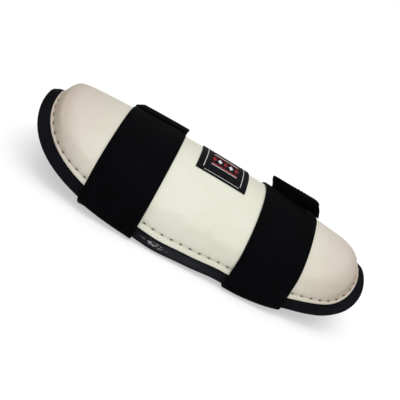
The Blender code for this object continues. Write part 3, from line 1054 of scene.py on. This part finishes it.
def build_label_stitches(look):
    """Small stitches near the label's edge."""
    half_along = LABEL_ALONG / 2 - 0.0013
    half_across = LABEL_ACROSS / 2 - 0.0010
    box = stitched_path([(a * half_along, b * half_across) for a, b in ((-1, -1), (1, -1), (1, 1), (-1, 1), (-1, -1))])
    travelled = travelled_along(box)
    runs = []
    for stitch in range(int(travelled[-1] / LABEL_PITCH)):
        steps = stitch * LABEL_PITCH + np.linspace(0.12, 0.88, 6) * LABEL_PITCH
        along = np.interp(steps, travelled, box[:, 0])
        across = np.interp(steps, travelled, box[:, 1])
        arch = 0.00016 * (1.0 - np.linspace(-1.0, 1.0, 6) ** 4) - 0.00010
        path = label_point(along, across, arch)
        runs.append((path, label_point(along, across, arch + 0.01) - path))
    return threads("label_stitches", runs, LABEL_THREAD, look)


# Assembly


def carry(piece, slot, *nodes):
    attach(piece, "root")
    if nodes:
        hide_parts(*nodes)
    return piece


def build_guard():
    vinyl = vinyl_look()
    foam = foam_look()
    elastic = elastic_look()
    hooks = hook_look()
    hem = hem_lit_look()
    woven = woven_look()
    dark_thread = thread_look("dark_thread", "0d0a06", "1a150e")
    black_thread = thread_look("black_thread", "040405", "0d0e11")
    white_thread = thread_look("white_thread", "d2d3d2", "eceded")
    red_thread = thread_look("red_thread", "7d1620", "a3242e")

    cover = carry(build_cover(vinyl), "vinyl", "cover")
    carry(build_cover_stitches(dark_thread), "vinyl")
    backing = carry(build_backing(foam), "foam", "backing")
    carry(build_inner_stitches(black_thread), "foam")
    for strap in STRAPS:
        carry(build_strap(strap, elastic), "elastic", "strap_" + strap)
        carry(build_tape(strap, hooks), "hook_tape", "hook_tape_" + strap)
        # The knee strap's folded end gets the lighter copy of the elastic, a painted highlight; the ankle's keeps the
        # plain elastic.
        carry(build_hem(strap, hem if strap == "knee" else elastic), "elastic")
        carry(build_lap_stitches(strap, black_thread), "elastic")
    carry(build_label(woven), "woven", "label")
    carry(build_label_stitches(black_thread), "woven")
    frame_bars, red, white = label_motif()
    carry(build_patches("label_frame", frame_bars, 0.00024, white_thread), "woven")
    carry(build_patches("label_red", red, 0.00028, red_thread), "woven")
    carry(build_patches("label_white", white, 0.00030, white_thread), "woven")


# Camera and studio


def place_camera():
    """The photograph's viewpoint, fitted to its outlines."""
    distance = 0.54059
    elevation = math.radians(22.0)
    yaw = math.radians(-5.88)
    roll = math.radians(31.57)
    focal_pixels = 632.62
    target = Vector((-0.00276, SHIFT[1], 0.05539 + SHIFT[2]))
    back = Vector((math.sin(yaw) * math.cos(elevation), -math.cos(yaw) * math.cos(elevation), math.sin(elevation)))
    right = (-back).cross(Vector((0.0, 0.0, 1.0))).normalized()
    up = right.cross(-back)
    turned_right = right * math.cos(roll) + up * math.sin(roll)
    turned_up = up * math.cos(roll) - right * math.sin(roll)
    data = bpy.data.cameras.new("camera")
    data.sensor_width = 36.0
    data.lens = focal_pixels / 400.0 * 36.0
    data.clip_start = 0.01
    camera = bpy.data.objects.new("camera", data)
    axes = Matrix((turned_right, turned_up, back)).transposed().to_4x4()
    camera.matrix_world = Matrix.Translation(target + back * distance) @ axes
    bpy.context.scene.collection.objects.link(camera)
    bpy.context.scene.camera = camera


def wide_light(name, towards, strength, spread, colour):
    """A far soft light that shines from a direction, spread over an angle in degrees."""
    data = bpy.data.lights.new(name, "SUN")
    data.angle = math.radians(spread)
    data.energy = strength
    data.color = colour
    lamp = bpy.data.objects.new(name, data)
    lamp.location = Vector(towards)
    lamp.rotation_euler = (-Vector(towards)).to_track_quat("-Z", "Y").to_euler()
    bpy.context.scene.collection.objects.link(lamp)


def build_studio():
    look = Look("pale_floor", Specular_IOR_Level=0.2)
    colour = look.mix(look.clouds(3.0, 2.0), linear("c2c2c2"), linear("c6c6c6"))
    look.colour(colour)
    look.roughness(look.clouds(40.0, 2.0, 0.8, 0.9))
    look.relief((look.noise(300.0, 2.0), 0.02, 0.0002))
    look.shader.inputs["Emission Color"].default_value = (1.0, 1.0, 1.0, 1.0)
    look.shader.inputs["Emission Strength"].default_value = 0.5
    size = 12.0
    corners = [(-size, -size, 0.0), (size, -size, 0.0), (size, size, 0.0), (-size, size, 0.0)]
    floor = mesh_object("floor", corners, [[0, 1, 2, 3]], look.material, [(0, 0), (1, 0), (1, 1), (0, 1)])
    floor.location.z = -0.0002
    world = bpy.data.worlds.new("studio")
    world.use_nodes = True
    tree = world.node_tree
    seen = tree.nodes["Background"]
    seen.inputs["Color"].default_value = (1.0, 1.0, 1.0, 1.0)
    seen.inputs["Strength"].default_value = 1.0
    ambient = tree.nodes.new("ShaderNodeBackground")
    ambient.inputs["Color"].default_value = (1.0, 1.0, 1.0, 1.0)
    ambient.inputs["Strength"].default_value = 0.36
    paths = tree.nodes.new("ShaderNodeLightPath")
    choice = tree.nodes.new("ShaderNodeMixShader")
    tree.links.new(paths.outputs["Is Camera Ray"], choice.inputs["Fac"])
    tree.links.new(ambient.outputs["Background"], choice.inputs[1])
    tree.links.new(seen.outputs["Background"], choice.inputs[2])
    tree.links.new(choice.outputs["Shader"], tree.nodes["World Output"].inputs["Surface"])
    bpy.context.scene.world = world
    wide_light("key", (0.0, -0.9, 1.7), 1.33, 50.0, (1.0, 1.0, 0.99))
    wide_light("top", (0.1, 0.3, 2.0), 0.93, 70.0, (0.99, 0.995, 1.0))
    bpy.context.scene.view_settings.view_transform = "Standard"


build_guard()
place_camera()
build_studio()
